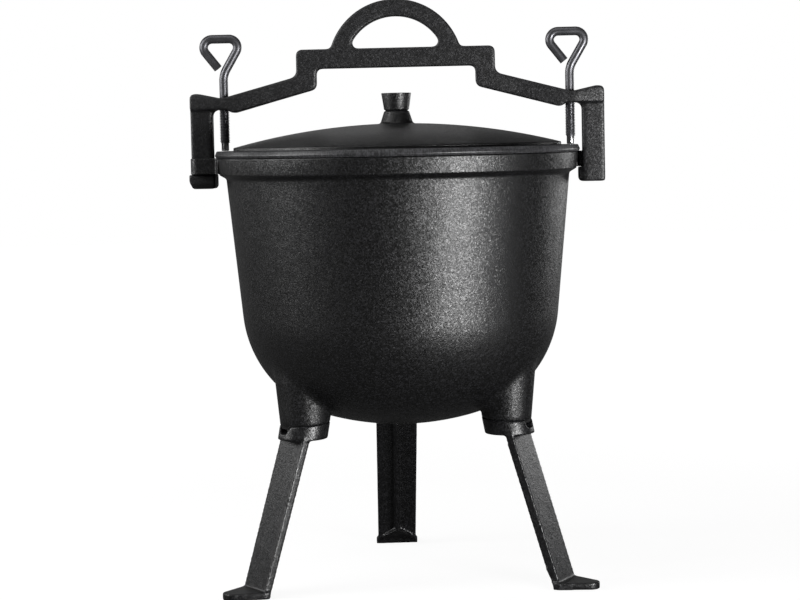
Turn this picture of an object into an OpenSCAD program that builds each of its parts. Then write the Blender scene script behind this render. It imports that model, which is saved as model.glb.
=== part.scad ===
// Three-legged cast iron cauldron with a clamped lid.
// The pot's axis is Z, the floor is z = 0, and the clamp's feet hook under lugs on the X sides.
// Millimetres and degrees.

/* [Bowl] */
// Outer radius of the wall, carried up to the rim
wall_r = 139; // [130:0.5:143]
// Draft of the side wall
wall_draft = 5.5; // [3:0.1:8]
// Outside depth from the rim to the lowest point
bowl_depth = 216; // [205:0.5:235]
// Radius of the bend between wall and bottom
bend_r = 92; // [75:1:105]
// Radius of the dished bottom
dish_r = 214; // [180:1:280]
// Thickness of the wall and the bottom
wall_t = 6; // [4:0.25:8]

/* [Rim band] */
// How far the band stands out from the wall at the rim
band_t = 5.5; // [4:0.1:9]
// Height of the band
band_h = 13.4; // [10:0.2:18]
// How much narrower the band is at its lower edge
band_taper = 1.5; // [0:0.1:2.5]
// Height of the sloped foot under the band
band_foot_h = 3.2; // [1:0.1:6]

/* [Lugs] */
// How far a lug stands out from the band
lug_l = 19.5; // [14:0.5:26]
// Width of a lug
lug_w = 22; // [16:0.5:26]
// Height of a lug, down from the rim
lug_h = 12.4; // [8:0.2:13]
// Radius of a lug's nose corners
lug_nose_r = 6; // [2:0.5:8]
// How much a lug's nose leans inward at its lower edge
lug_taper = 1.2; // [0:0.1:3]

/* [Leg seats] */
// How far the bowl's lowest point hangs below the seats of the legs
belly_drop = 7.2; // [2:0.1:12]
// How far a boss's centre lies inside the wall's radius
boss_inset = 47; // [41:0.1:51]
// Radius of a boss at its seat
boss_r = 19.6; // [17:0.2:22]
// Draft of a boss
boss_draft = 5.4; // [2:0.1:9]
// How far a boss runs on past the dish at its outer side, to end in the bend's wall
boss_run = 28; // [22:1:34]
// How much nearer to the pot's axis the bolt lies than the boss's centre
bolt_inset = 2; // [0:0.25:4]
// Tilt of the seats, whose inner side lies higher
seat_tilt = 3.5; // [0:0.25:6]
// Half width of the boss's key at the seat
key_half_w = 7.2; // [5:0.1:9]
// How far the key hangs below the seat
key_drop = 2.6; // [1:0.1:4]
// Radial thickness of the key
key_t = 5.5; // [3:0.25:7]
// Depth of the blind threaded hole in a boss
boss_hole_depth = 15; // [13:0.5:17]

/* [Legs] */
// Height of a leg from its sole to its seat
leg_h = 131.7; // [100:0.5:180]
// Radius of the collar on top of a leg
collar_r = 19.3; // [18:0.1:22]
// Thickness of the collar
collar_t = 12.2; // [10:0.1:15]
// Tilt of the collar's side
collar_tilt = 12; // [0:0.5:14]
// Lean of the strut
strut_lean = 18; // [14:0.25:20]
// How far outside the boss's centre the strut's face meets the collar
strut_offset = 12.6; // [9:0.1:14]
// Width of the strut's flange at the collar
flange_w_top = 35; // [28:0.5:36]
// Width of the strut's flange at the foot
flange_w_foot = 32.5; // [26:0.5:34]
// Thickness of the strut's flange
flange_t = 6.2; // [4:0.1:7]
// Thickness of the strut's rib
rib_t = 3; // [2:0.1:5]
// Depth of the strut's rib behind the flange
rib_d = 8.5; // [5:0.25:11]
// Depth of the notch in the collar
notch_depth = 5.8; // [4.5:0.1:7]
// Half width of the notch at its bottom
notch_half_w = 4.2; // [3:0.1:5]
// Play between the boss's key and the notch
key_play = 0.6; // [0.3:0.05:1]

/* [Feet] */
// Length of a foot along its radius
foot_l = 31.5; // [24:0.5:40]
// Thickness of a foot
foot_t = 5.5; // [4:0.1:8]
// Half width of a foot at its inner end
foot_half_w = 17.8; // [14:0.1:20]
// Length of the foot's parallel part
foot_parallel = 4.5; // [2:0.25:8]
// Radius of a foot's tip
foot_tip_r = 8.5; // [5:0.25:11]
// Height at which the rib opens into the foot's gusset
gusset_h = 14; // [10:0.25:20]

/* [Leg fasteners] */
// Radius of the bolt's thread
bolt_r = 3; // [2.5:0.25:3.5]
// Length of the bolt under its head
bolt_l = 20; // [18:0.5:22]
// Width across the flats of the bolt's head
bolt_flats = 10; // [8:0.5:11]
// Height of the bolt's head
bolt_head_h = 4; // [3:0.1:4.5]
// Outer radius of the washer
washer_r = 6; // [5.75:0.25:7]
// Thickness of the washer
washer_t = 1.6; // [1:0.1:2]
// Radial clearance of the bolt in leg and washer
bolt_play = 0.4; // [0.2:0.05:1]
// Radial clearance of a thread in its threaded hole
thread_play = 0.05; // [0.02:0.01:0.08]
// Room round the washer in the collar's recess, for a socket spanner
spanner_play = 1.6; // [1:0.1:2.5]
// How far the bolt's head stays inside the collar
head_sink = 0.4; // [0.2:0.1:2]
// Height below the collar that is kept clear for the spanner
spanner_h = 8; // [4:0.5:12]

/* [Lid] */
// How far the lid's flange overhangs the rim band
flange_overhang = 1.7; // [0:0.1:4]
// Width of the lid's flange outside the dome
flange_w = 15; // [11:0.1:18]
// Thickness of the lid's flange
lid_flange_t = 5.4; // [4:0.1:7]
// Height of the flange's widest line above the rim
flange_belly_h = 1.8; // [1:0.1:2.5]
// How much narrower the flange is at its top
flange_taper = 1.6; // [0.5:0.1:3]
// How much narrower the flange is at its underside
flange_undercut = 1.2; // [0.3:0.1:2]
// Height of the dome's top above the rim
dome_h = 25; // [20:0.5:34]
// Radius of curvature of the dome
dome_curve_r = 510; // [470:5:600]
// Thickness of the lid's dome
lid_t = 5; // [3.5:0.25:6]
// Depth of the locating ring under the lid
ring_h = 4; // [2:0.25:7]
// Thickness of the locating ring
ring_t = 4; // [3:0.25:6]
// Radial clearance of the locating ring in the bowl's mouth
ring_play = 1.2; // [0.5:0.1:2.5]
// Height of the raised centre above the rim
centre_h = 35.2; // [32:0.2:42]
// Radius of the raised centre at its top
centre_r = 9.9; // [8:0.1:12]
// Radius of the raised centre at the dome
centre_foot_r = 13.2; // [11:0.1:17]

/* [Knob] */
// Height of the knob
knob_h = 14; // [10:0.5:18]
// Radius of the knob's top
knob_r = 12; // [10.5:0.1:15]
// Radius of the screw that holds the knob
knob_screw_r = 3; // [2:0.25:3.5]
// Depth of the threaded hole in the knob
knob_hole_depth = 11; // [7.5:0.5:12]
// Radius of the head of the knob's screw
knob_screw_head_r = 6; // [5:0.25:7]
// Height of the head of the knob's screw
knob_screw_head_h = 3.6; // [2.5:0.1:4.5]

/* [Yoke] */
// Thickness of the yoke front to back
yoke_t = 12; // [10:0.25:13]
// Thickness of the yoke front to back at the clamp screws
yoke_boss_t = 19; // [15:0.5:22]
// Distance before a clamp screw at which the yoke starts to thicken
yoke_swell_l = 40; // [25:1:50]
// Height of the bar's underside above the rim
bar_z = 69.7; // [66:0.5:74]
// Height of the bar
bar_h = 15.6; // [12:0.2:18]
// Half width of the bar over its shoulders
shoulder_x = 79.6; // [76:0.2:86]
// Half width between the shoulders' inner sides
shoulder_inner_x = 63.7; // [60:0.2:66]
// Slope of the arms
arm_slope = 15; // [13:0.25:16]
// Vertical thickness of the arms
arm_h = 14.6; // [12:0.2:16]
// Height of the yoke's top above the rim at the clamp screws
waist_z = 47.7; // [46:0.2:50]
// Vertical thickness of the yoke at the clamp screws
waist_h = 9.2; // [8:0.2:11]
// Height of the arm ends' top above the rim
arm_end_z = 51.8; // [50.5:0.2:55]

/* [Yoke legs] */
// Clearance between the lid's edge and a yoke leg
hook_gap = 1.6; // [1:0.1:4]
// How far a yoke leg stands out past the lug's nose
hook_over = 2; // [0:0.1:3]
// Thickness of a yoke leg front to back
hook_t = 10; // [8:0.25:11]
// Size of the slope on a yoke leg's inner edges
hook_chamfer = 2.5; // [0.5:0.1:3.5]
// How far a hook's foot reaches beyond the leg, under the lug
hook_reach = 17; // [12:0.5:20]
// Thickness of a hook's foot
hook_foot_h = 11.5; // [8:0.25:14]
// Size of the slope on a hook's lower front edge
hook_foot_chamfer = 4; // [1:0.25:6]
// Clearance between a hook and its lug
hook_play = 0.4; // [0.3:0.05:0.8]

/* [Handle] */
// Outer radius of the handle's arch
arch_r = 54.2; // [48:0.2:60]
// Width of the handle's arch
arch_w = 13.6; // [10:0.2:16]
// Radius of the lower corners of the handle's opening
grip_corner_r = 4.5; // [2:0.25:6]
// Radius of the fillet between arch and bar
arch_fillet_r = 3.5; // [1:0.25:5]

/* [Clamp screws] */
// Diameter of the screws' wire
wire_d = 7; // [6:0.1:7.4]
// Radius of the clamp screws' thread
screw_r = 4; // [3.8:0.05:4.5]
// Radius of the bare tip
tip_r = 3; // [2:0.1:3.5]
// Length of the bare tip
tip_l = 6.4; // [4:0.2:8]
// Gap between the tip and the lid's flange
tip_gap = 0.3; // [0.2:0.05:0.6]
// Height above the rim at which the wire's bend has its corner
neck_z = 66.7; // [62:0.2:75]
// Angle of the neck's bend
neck_angle = 30.4; // [26:0.2:33]
// Radius of the neck's bend
neck_bend_r = 18; // [14:0.5:20]
// Height of the eye, from the neck's corner to the middle of its top strand
eye_h = 28.6; // [26:0.2:34]
// Radius of the eye's two upper bends
eye_bend_r = 6.7; // [5:0.1:7.5]
// Length of the eye's straight top strand
eye_top_l = 13.8; // [11:0.2:16]
// Angle of the eye's free strand from upright
free_angle = 38; // [35:0.5:42]
// Length of the eye's free strand
free_l = 16.1; // [8:0.1:16.4]

/* [Hidden] */

// Smoothness of round forms, and steps along each rounded corner and along the bowl's outline
$fn = 96;
corner_steps = 6;
bend_steps = 14;
dish_steps = 6;
// Length by which a cut runs past the face that it opens
past = 1;

// The band round the bowl, the lugs on it, the lid's flange on it, and the clamp round those
band_r = wall_r + band_t;
lug_reach = band_r + lug_l;
flange_r = band_r + flange_overhang;
dome_edge_r = flange_r - flange_w;
hook_inner_x = flange_r + hook_gap;
hook_outer_x = lug_reach + hook_over;
boss_circle_r = wall_r - boss_inset;
// A clamp screw presses on the middle of the lid's flange
screw_x = (dome_edge_r + flange_r) / 2;

// A lug stands just behind the yoke's leg, seen in the direction in which the yoke turns to lock
lug_y = hook_t / 2 + hook_play;

// Where the three legs stand, around Z: the rear leg is square to the line through both lugs
lug_line = atan2(lug_y + lug_w / 2, (band_r + lug_reach) / 2);
leg_angle_left = lug_line + 210;
leg_angle_right = lug_line + 330;
leg_angle_rear = lug_line + 90;

// Heights above the floor
seat_drop = bowl_depth - belly_drop;
rim_z = leg_h + seat_drop;
collar_under_z = leg_h - collar_t;

// Distances from the pot's axis to a foot's inner end and tip: the strut leans out from the collar
foot_inner_r = boss_circle_r + strut_offset + collar_under_z * tan(strut_lean) - flange_t / cos(strut_lean);
foot_reach = foot_inner_r + foot_l;

cast_black = [0.16, 0.16, 0.165];
cast_grey = [0.22, 0.22, 0.225];
wire_dark = [0.32, 0.32, 0.33];
steel = [0.6, 0.6, 0.62];

// Unit vector at an angle from X
function heading(a) = [cos(a), sin(a)];

// Points of an arc about a centre, both ends included
function arc(centre, r, from, to, steps) =
    [for (i = [0 : steps]) centre + r * heading(from + (to - from) * i / steps)];

// Points of the arc that rounds corner b, between a and c, with radius r
function corner_arc(a, b, c, r) =
    let (
        u = (a - b) / norm(a - b),
        v = (c - b) / norm(c - b),
        half = acos(u * v) / 2,
        centre = b + (u + v) / norm(u + v) * r / sin(half),
        side = sign(u.y * v.x - u.x * v.y),
        start = b + u * r / tan(half) - centre,
        first = atan2(start.y, start.x)
    )
    [for (i = [0 : corner_steps])
        centre + r * heading(first + side * (180 - 2 * half) * i / corner_steps)];

// An outline of [x, y, radius] corners, each rounded where its radius is above zero
function rounded(corners) =
    let (n = len(corners))
    [for (i = [0 : n - 1])
        let (
            before = corners[(i + n - 1) % n],
            here = corners[i],
            after = corners[(i + 1) % n]
        )
        each here[2] > 0
            ? corner_arc([before.x, before.y], [here.x, here.y], [after.x, after.y], here[2])
            : [[here.x, here.y]]];

// The same corners mirrored in X, in the opposite order, without those on the axis
function mirrored(corners) =
    [for (i = [len(corners) - 1 : -1 : 0])
        if (corners[i].x > 0) [-corners[i].x, corners[i].y, corners[i][2]]];

// Bowl, lid and knob

// Revolved outline of a vessel: drafted wall, bend and dished bottom, all tangent to each other.
// The rim is at height 0, and the wall runs on above it by a given length.
module vessel_outline(wall, bend, dish, depth, above) {
    down = [-sin(wall_draft), -cos(wall_draft)];
    dish_centre = [0, dish - depth];
    start = [wall, 0] - bend * heading(-wall_draft);
    lead = start - dish_centre;
    run = -lead * down + sqrt((lead * down) ^ 2 - lead * lead + (dish - bend) ^ 2);
    bend_centre = start + run * down;
    meet = atan2(bend_centre.y - dish_centre.y, bend_centre.x);
    meet_step = (90 + meet) / (dish_steps + 1);
    polygon(concat([[0, above], [wall + above * tan(wall_draft), above]],
                   arc(bend_centre, bend, -wall_draft, meet, bend_steps),
                   arc(dish_centre, dish, meet - meet_step, -90, dish_steps)));
}

// Wall thickness measured level, and the mouth's radius at the rim
wall_level_t = wall_t / cos(wall_draft);
mouth_r = wall_r - wall_level_t;

module bowl_outside() {
    rotate_extrude($fn = 72) {
        vessel_outline(wall_r, bend_r, dish_r, bowl_depth, 0);
        polygon([[wall_r - wall_level_t / 2, 0], [band_r, 0], [band_r - band_taper, -band_h],
                 [wall_r - (band_h + band_foot_h) * tan(wall_draft), -band_h - band_foot_h],
                 [wall_r - wall_level_t / 2 - (band_h + band_foot_h) * tan(wall_draft),
                  -band_h - band_foot_h]]);
    }
}

module bowl_cavity() {
    rotate_extrude($fn = 72)
        vessel_outline(mouth_r, bend_r - wall_t, dish_r - wall_t, bowl_depth - wall_t, past);
}

module lug() {
    root_x = wall_r - wall_level_t / 2;
    intersection() {
        translate([0, 0, -lug_h])
            linear_extrude(lug_h)
                polygon(rounded([[root_x, lug_y, 0], [lug_reach, lug_y, lug_nose_r],
                                 [lug_reach, lug_y + lug_w, lug_nose_r], [root_x, lug_y + lug_w, 0]]));
        translate([0, lug_y + lug_w + past, 0])
            rotate([90, 0, 0])
                linear_extrude(lug_w + 2 * past)
                    polygon([[root_x - past, past], [lug_reach + past * lug_taper / lug_h, past],
                             [lug_reach - lug_taper, -lug_h], [lug_reach - lug_taper, -lug_h - past],
                             [root_x - past, -lug_h - past]]);
    }
}

// Section of the boss's key and of the collar's notch, seen along the radius.
// Both have the same slope, and the play is added to the half width.
key_slope = (key_half_w + key_play - notch_half_w) / notch_depth;

module key_section(play, up, drop) {
    half_w = key_half_w + play;
    polygon([[-half_w - up * key_slope, up], [half_w + up * key_slope, up],
             [half_w - drop * key_slope, -drop], [-half_w + drop * key_slope, -drop]]);
}

// The key's section run outward from a distance off the boss's centre
module key_bar(play, up, drop, from) {
    translate([from, 0, 0])
        rotate([90, 0, 90])
            linear_extrude(boss_r + collar_r - from)
                key_section(play, up, drop);
}

// A seat's frame: its inner side, towards -X, lies higher
module tilted() {
    rotate([0, seat_tilt, 0]) children();
}

// A boss, with its origin at the middle of its seat: a drafted cone cut off at the tilted seat
module boss() {
    rise = seat_drop - bowl_depth + dish_r * (1 - cos(asin((boss_circle_r + boss_r) / dish_r))) + boss_run;
    below = boss_r * tan(seat_tilt) + key_drop + past;
    slope = tan(boss_draft);
    intersection() {
        translate([0, 0, -below])
            cylinder(r1 = boss_r - below * slope, r2 = boss_r + rise * slope, h = below + rise);
        tilted() {
            translate([-2 * boss_r, -2 * boss_r, 0]) cube([4 * boss_r, 4 * boss_r, 2 * rise]);
            key_bar(0, past, key_drop, boss_r - key_t);
        }
    }
}

module at_leg(a) {
    rotate([0, 0, a]) children();
}

module cauldron_bowl() {
    color(cast_black)
        difference() {
            union() {
                translate([0, 0, rim_z]) {
                    bowl_outside();
                    lug();
                    rotate([0, 0, 180]) lug();
                }
                for (a = [leg_angle_left, leg_angle_right, leg_angle_rear])
                    at_leg(a) translate([boss_circle_r, 0, leg_h]) boss();
            }
            translate([0, 0, rim_z]) bowl_cavity();
            for (a = [leg_angle_left, leg_angle_right, leg_angle_rear])
                at_leg(a)
                    translate([boss_circle_r - bolt_inset, 0, leg_h - past])
                        cylinder(r = bolt_r + thread_play, h = boss_hole_depth + past);
        }
}

dome_centre_z = dome_h - dome_curve_r;
dome_under_r = dome_curve_r - lid_t;
ring_r = mouth_r - ring_h * tan(wall_draft) - ring_play;
knob_foot_z = centre_h;

module lid_section() {
    difference() {
        union() {
            polygon([[0, 0], [flange_r - flange_undercut, 0], [flange_r, flange_belly_h],
                     [flange_r - flange_taper, lid_flange_t], [0, lid_flange_t]]);
            intersection() {
                translate([0, dome_centre_z]) circle(r = dome_curve_r, $fn = 360);
                square([dome_edge_r, dome_h + past]);
            }
            translate([ring_r - ring_t, -ring_h]) square([ring_t, ring_h + lid_flange_t / 2]);
            polygon([[0, lid_flange_t], [centre_foot_r, lid_flange_t],
                     [centre_foot_r, dome_h - centre_foot_r ^ 2 / 2 / dome_curve_r],
                     [centre_r, centre_h], [0, centre_h]]);
        }
        intersection() {
            translate([0, dome_centre_z]) circle(r = dome_under_r, $fn = 360);
            translate([0, -ring_h - past]) square([ring_r - ring_t, dome_h + ring_h + past]);
        }
        translate([0, -past]) square([knob_screw_r + bolt_play / 2, centre_h + 2 * past]);
    }
}

module lid() {
    color(cast_black)
        translate([0, 0, rim_z])
            rotate_extrude()
                lid_section();
}

module lid_knob() {
    color(cast_grey)
        translate([0, 0, rim_z + knob_foot_z])
            rotate_extrude()
                difference() {
                    polygon([[0, 0], [centre_r, 0], [knob_r, knob_h], [0, knob_h]]);
                    translate([0, -past])
                        square([knob_screw_r + thread_play, knob_hole_depth + past]);
                }
}

// The knob's screw: its head bears on the dome's underside
module knob_screw() {
    seat = dome_h - lid_t - knob_screw_head_r ^ 2 / 2 / dome_under_r;
    tip = knob_foot_z + knob_hole_depth - past;
    color(steel)
        translate([0, 0, rim_z]) {
            translate([0, 0, seat - knob_screw_head_h])
                cylinder(r = knob_screw_head_r, h = knob_screw_head_h);
            translate([0, 0, seat - knob_screw_head_h / 2])
                cylinder(r = knob_screw_r, h = tip - seat + knob_screw_head_h / 2);
        }
}

// Legs and their fasteners, each along its own radius X

// Radius of the strut's outer face at height z, and the flange's level thickness
strut_foot_r = foot_inner_r + flange_t / cos(strut_lean);
function strut_face(z) = strut_foot_r - z * tan(strut_lean);
flange_level_t = flange_t / cos(strut_lean);
strut_top = collar_under_z + collar_t / 4;

// Extrudes an outline drawn in X and Z over a thickness centred on Y
module across(t) {
    rotate([90, 0, 0]) linear_extrude(t, center = true) children();
}

module strut_flange() {
    intersection() {
        across(flange_w_top + flange_w_foot)
            polygon([[strut_face(0), 0], [strut_face(strut_top), strut_top],
                     [strut_face(strut_top) - flange_level_t, strut_top],
                     [strut_face(0) - flange_level_t, 0]]);
        rotate([90, 0, 90])
            linear_extrude(strut_foot_r + past)
                polygon([[-flange_w_foot / 2, 0], [flange_w_foot / 2, 0],
                         [flange_w_top / 2, strut_top], [-flange_w_top / 2, strut_top]]);
    }
}

module strut_rib() {
    inside = flange_level_t / 2;
    across(rib_t)
        polygon([[strut_face(0) - inside, 0], [strut_face(strut_top) - inside, strut_top],
                 [strut_face(strut_top) - flange_level_t - rib_d, strut_top],
                 [strut_face(gusset_h) - flange_level_t - rib_d, gusset_h],
                 [foot_inner_r, foot_t / 2], [foot_inner_r, 0]]);
}

// The rib opens into a wedge that runs out to the foot's inner corners
module foot_gusset() {
    rib_x = strut_face(gusset_h) - flange_level_t - rib_d;
    edge = foot_t / 5;
    hull() {
        translate([rib_x, -rib_t / 2, gusset_h - edge])
            cube([rib_d + flange_level_t / 2, rib_t, edge]);
        translate([foot_inner_r, -foot_half_w + edge, foot_t - 2 * edge])
            cube([edge, 2 * (foot_half_w - edge), 2 * edge]);
    }
}

module foot_pad() {
    tip_x = foot_reach - foot_tip_r;
    side_x = foot_inner_r + foot_parallel;
    span = [tip_x - side_x, -foot_half_w];
    turn = atan2(foot_half_w, span.x) - asin(foot_tip_r / norm(span));
    touch = [tip_x + foot_tip_r * sin(turn), foot_tip_r * cos(turn)];
    linear_extrude(foot_t) {
        translate([tip_x, 0]) circle(r = foot_tip_r);
        polygon([[foot_inner_r, -foot_half_w], [side_x, -foot_half_w], [touch.x, -touch.y],
                 touch, [side_x, foot_half_w], [foot_inner_r, foot_half_w]]);
    }
}

module collar() {
    intersection() {
        translate([boss_circle_r, 0, leg_h])
            rotate([0, -collar_tilt, 0])
                cylinder(r = collar_r, h = 6 * collar_t, center = true);
        translate([0, -2 * collar_r, collar_under_z])
            cube([boss_circle_r + 2 * collar_r, 4 * collar_r, 2 * collar_t]);
        translate([boss_circle_r, 0, leg_h])
            tilted()
                translate([-3 * collar_r, -2 * collar_r, -3 * collar_t])
                    cube([6 * collar_r, 4 * collar_r, 3 * collar_t]);
    }
}

// The bolt's head lies in a recess in the collar's underside, and bears on the recess's ceiling
recess_depth = washer_t + bolt_head_h + head_sink;
washer_z = collar_under_z + recess_depth - washer_t;

module leg_casting() {
    bolt_x = boss_circle_r - bolt_inset;
    color(cast_black)
        difference() {
            union() {
                collar();
                strut_flange();
                strut_rib();
                foot_gusset();
                foot_pad();
            }
            translate([boss_circle_r, 0, leg_h])
                tilted() key_bar(key_play, past, notch_depth, boss_r - key_t - key_play);
            translate([bolt_x, 0, collar_under_z - past])
                cylinder(r = bolt_r + bolt_play, h = collar_t + 2 * past);
            translate([bolt_x, 0, collar_under_z - spanner_h])
                cylinder(r = washer_r + spanner_play, h = spanner_h + recess_depth);
        }
}

module leg_bolt() {
    color(steel)
        translate([boss_circle_r - bolt_inset, 0, washer_z]) {
            translate([0, 0, -bolt_head_h])
                cylinder(r = bolt_flats / sqrt(3), h = bolt_head_h, $fn = 6);
            translate([0, 0, -bolt_head_h / 2])
                cylinder(r = bolt_r, h = bolt_l + bolt_head_h / 2);
        }
}

module leg_washer() {
    color(steel)
        translate([boss_circle_r - bolt_inset, 0, washer_z])
            difference() {
                cylinder(r = washer_r, h = washer_t);
                translate([0, 0, -past])
                    cylinder(r = bolt_r + bolt_play, h = washer_t + 2 * past);
            }
}

// Yoke

bar_top_z = bar_z + bar_h;
arch_centre_z = bar_z;
arch_inner_r = arch_r - arch_w;
waist_under_z = waist_z - waist_h;
// The arms' upper line passes through this height at the outer side of the shoulders
arm_drop = tan(arm_slope);
arm_top_z = waist_z + (screw_x + 1.6 - shoulder_x) * arm_drop;
function arm_top(x) = arm_top_z - (x - shoulder_x) * arm_drop;
function arm_under(x) = arm_top(x) - arm_h;
// Where the arm's underside ends, short of the clamp screw
arm_end_x = screw_x - 8;

// One half of the bar and arm, from the middle of the top round to the middle of the underside
bar_corners = [
    [0, bar_top_z, 0],
    [shoulder_x, bar_top_z, 4.5],
    [shoulder_x, arm_top_z, 6],
    [screw_x + 1.6, waist_z, 14],
    [hook_outer_x - 7, arm_end_z, 8],
    [hook_outer_x, arm_end_z, 3.8],
    [hook_outer_x, waist_under_z, 0],
    [arm_end_x + 6, waist_under_z, 2],
    [arm_end_x, arm_under(arm_end_x), 5],
    [shoulder_inner_x, arm_under(shoulder_inner_x), 5.5],
    [shoulder_inner_x, bar_z, 4],
    [0, bar_z, 0]
];

// Opening of the handle: an arc over a straight sill, with round lower corners
module grip_opening() {
    corner_z = bar_top_z + grip_corner_r;
    corner_x = sqrt((arch_inner_r - grip_corner_r) ^ 2 - (corner_z - arch_centre_z) ^ 2);
    reach = 1.5 * arch_inner_r / norm([corner_x, corner_z - arch_centre_z]);
    wedge = reach * [corner_x, corner_z - arch_centre_z];
    for (side = [-1, 1])
        translate([side * corner_x, corner_z]) circle(r = grip_corner_r);
    translate([-corner_x, bar_top_z]) square([2 * corner_x, grip_corner_r]);
    intersection() {
        translate([0, arch_centre_z]) circle(r = arch_inner_r);
        translate([0, arch_centre_z])
            polygon([[0, 0], wedge, [0, 1.5 * arch_inner_r], [-wedge.x, wedge.y]]);
        translate([-arch_r, bar_top_z]) square([2 * arch_r, arch_r]);
    }
}

// Fillets at the two roots of the arch
module arch_fillets() {
    fillet_z = bar_top_z + arch_fillet_r;
    fillet_x = sqrt((arch_r + arch_fillet_r) ^ 2 - (fillet_z - arch_centre_z) ^ 2);
    touch = [fillet_x, fillet_z - arch_centre_z] * arch_r / (arch_r + arch_fillet_r);
    for (side = [-1, 1])
        difference() {
            polygon([[side * (touch.x - arch_w / 3), bar_top_z - past], [side * fillet_x, bar_top_z - past],
                     [side * fillet_x, bar_top_z], [side * touch.x, arch_centre_z + touch.y],
                     [side * (touch.x - arch_w / 3), arch_centre_z + touch.y]]);
            translate([side * fillet_x, fillet_z]) circle(r = arch_fillet_r);
        }
}

module yoke_front() {
    difference() {
        union() {
            polygon(rounded(concat(bar_corners, mirrored(bar_corners))));
            intersection() {
                translate([0, arch_centre_z]) circle(r = arch_r);
                translate([-arch_r, bar_top_z - past]) square([2 * arch_r, arch_r]);
            }
            arch_fillets();
        }
        grip_opening();
    }
}

// The yoke from above: it thickens towards each clamp screw
module yoke_plan() {
    half = yoke_t / 2;
    thick = yoke_boss_t / 2;
    flat = screw_r;
    from_x = screw_x - yoke_swell_l;
    polygon([[-from_x, half], [-screw_x - flat, thick], [-hook_outer_x - past, half + past],
             [-hook_outer_x - past, -half - past], [-screw_x - flat, -thick], [-from_x, -half],
             [from_x, -half], [screw_x + flat, -thick], [hook_outer_x + past, -half - past],
             [hook_outer_x + past, half + past], [screw_x + flat, thick], [from_x, half]]);
}

// One leg of the yoke with its foot under the lug
module hook() {
    under_z = -lug_h - hook_play;
    sole_z = under_z - hook_foot_h;
    root_r = 4.5;
    root_x = hook_inner_x - 2 * root_r;
    half = hook_t / 2;
    intersection() {
        across(hook_t)
            polygon(rounded([[root_x, waist_z - waist_h / 4, 0], [hook_outer_x, waist_z - waist_h / 4, 0],
                             [hook_outer_x, sole_z, 1.5], [hook_inner_x, sole_z, 1.5],
                             [hook_inner_x, waist_under_z, root_r], [root_x, waist_under_z, 0]]));
        translate([0, 0, sole_z - past])
            linear_extrude(waist_z - sole_z + 2 * past)
                polygon([[root_x - past, -half + hook_chamfer / 2], [root_x - past, half - hook_chamfer / 2],
                         [hook_inner_x, half - hook_chamfer / 2],
                         [hook_inner_x + hook_chamfer, half], [hook_outer_x - 1, half],
                         [hook_outer_x, half - 1], [hook_outer_x, -half + 1],
                         [hook_outer_x - 1, -half], [hook_inner_x + hook_chamfer, -half],
                         [hook_inner_x, -half + hook_chamfer / 2]]);
    }
    // The foot stays outside the rim band and narrows towards its sole
    foot_x = band_r + hook_play;
    intersection() {
        across(2 * (half + hook_reach))
            polygon([[foot_x, under_z], [hook_outer_x - 0.4, under_z],
                     [hook_outer_x - 0.4, under_z - hook_foot_h / 2], [hook_outer_x - 2.6, sole_z],
                     [foot_x + 1.2, sole_z], [foot_x, sole_z + 2.4]]);
        rotate([90, 0, 90])
            linear_extrude(hook_outer_x)
                polygon([[-half + hook_chamfer, sole_z], [half + hook_reach - hook_foot_chamfer, sole_z],
                         [half + hook_reach, sole_z + hook_foot_chamfer],
                         [half + hook_reach, under_z], [-half + hook_chamfer, under_z]]);
    }
}

module clamp_yoke() {
    color(cast_black)
        translate([0, 0, rim_z])
            difference() {
                union() {
                    intersection() {
                        across(2 * yoke_boss_t) yoke_front();
                        linear_extrude(bar_top_z + 2 * arch_r) yoke_plan();
                    }
                    hook();
                    rotate([0, 0, 180]) hook();
                }
                for (side = [-1, 1])
                    translate([side * screw_x, 0, waist_under_z - bar_h])
                        cylinder(r = screw_r + thread_play, h = 2 * bar_h + waist_h);
            }
}

// Clamp screws, bent from one wire

// Each straight stretch runs a little way into the bends beside it, which are a touch thinner
wire_lap = 0.3;
bend_thinning = 0.1;

// A straight stretch of wire from the origin, in the XZ plane, leaning over by an angle from upright
module wire_run(angle, length) {
    rotate([0, angle, 0])
        translate([0, 0, -wire_lap])
            cylinder(d = wire_d, h = length + 2 * wire_lap);
}

// A bend of the wire in the XZ plane, about the origin, between two directions from X
module wire_bend(radius, from, to) {
    rotate([90, 0, 0])
        rotate([0, 0, from])
            rotate_extrude(angle = to - from)
                translate([radius, 0]) circle(d = wire_d - bend_thinning);
}

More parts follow.
